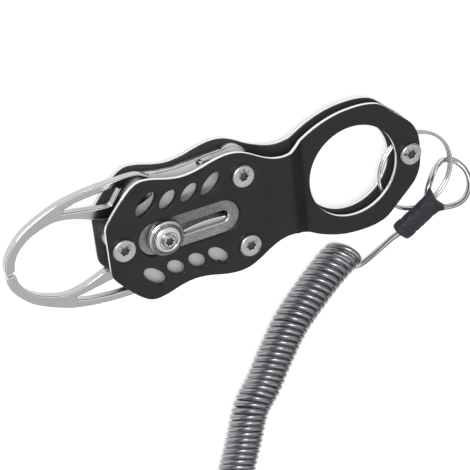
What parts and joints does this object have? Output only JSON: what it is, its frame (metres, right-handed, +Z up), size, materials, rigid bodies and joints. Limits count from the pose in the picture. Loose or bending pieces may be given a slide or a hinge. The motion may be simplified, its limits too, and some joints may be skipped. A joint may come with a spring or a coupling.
{
  "type": "fish lip grip",
  "caption": "Fish lip grip: steel jaws between black plates with a finger ring, opened by a sliding thumb knob, on a coiled cable lanyard with a carabiner.",
  "frame": {"origin": "under the middle of the grip, from jaw tips to ring, on the surface that it lies on", "axes": "+X from the jaw tips to the finger ring, +Z up out of the front plate with the thumb knob, and the lanyard lies towards -Y"},
  "size_m": [0.1395, 0.1881, 0.016],
  "materials": {
    "black_plate": "black anodised face, bare cut edges",
    "jaw_steel": "polished stainless steel",
    "turned_steel": "turned",
    "washer": "natural acetal",
    "screw_steel": "zinc plated",
    "spring_wire": "drawn spring wire",
    "knob_steel": "polished",
    "coated_cable": "steel cable in a clear coat",
    "coil_cable": "steel cable in a smoke-grey clear coat",
    "heat_shrink": "matt heat-shrink tube",
    "red_anodised": "red anodised",
    "gate_aluminium": "bright"
  },
  "bodies": {
    "grip": {"front_plate": "black_plate", "back_plate": "black_plate", "front_spacer": "turned_steel", "upper_pivot_sleeve": "turned_steel", "lower_pivot_sleeve": "turned_steel", "end_spacer": "turned_steel", "pivot_washers": "washer", "front_screws": "screw_steel", "back_screws": "screw_steel", "jaw_spring": "spring_wire", "split_ring": "spring_wire", "near_loop": "coated_cable", "near_sleeve": "heat_shrink", "near_tail": "coated_cable", "lanyard_coil": "coil_cable", "far_tail": "coated_cable", "far_sleeve": "heat_shrink", "far_loop": "coated_cable", "carabiner_body": "red_anodised", "gate_pivot": "screw_steel"},
    "upper_jaw": {"upper_jaw": "jaw_steel"},
    "lower_jaw": {"lower_jaw": "jaw_steel"},
    "thumb_slide": {"slide_pin": "turned_steel", "cam_rollers": "turned_steel", "slide_washer": "washer", "thumb_knob": "knob_steel", "knob_screw": "screw_steel", "back_button": "knob_steel"},
    "gate": {"carabiner_gate": "gate_aluminium", "gate_plunger": "turned_steel", "gate_spring": "spring_wire"}
  },
  "joints": [
    {"name": "thumb_slide", "type": "slide", "parent": "grip", "child": "thumb_slide", "axis": [1, 0, 0], "range_m": [0, 0.017], "stiffness_N_per_m": 150, "springref_m": -0.02},
    {"name": "upper_jaw_hinge", "type": "hinge", "parent": "grip", "child": "upper_jaw", "pos_m": [0.0054, 0.0107, 0.005], "axis": [0, 0, -1], "range_deg": [0, 20], "deforming": ["jaw_spring"]},
    {"name": "lower_jaw_hinge", "type": "hinge", "parent": "grip", "child": "lower_jaw", "pos_m": [0.0054, -0.0107, 0.0075], "axis": [0, 0, 1], "range_deg": [0, 20], "deforming": ["jaw_spring"]},
    {"name": "gate_hinge", "type": "hinge", "parent": "grip", "child": "gate", "pos_m": [-0.00365, -0.13644, 0.00438], "axis": [-0.0183, 0.0199, 0.9996], "range_deg": [0, 25], "stiffness_Nm_per_rad": 0.02, "springref_deg": -20.05}
  ],
  "couplings": [
    {"joint": "upper_jaw_hinge", "follows": "thumb_slide", "rad_per_m": 20.532},
    {"joint": "lower_jaw_hinge", "follows": "thumb_slide", "rad_per_m": 20.532}
  ]
}
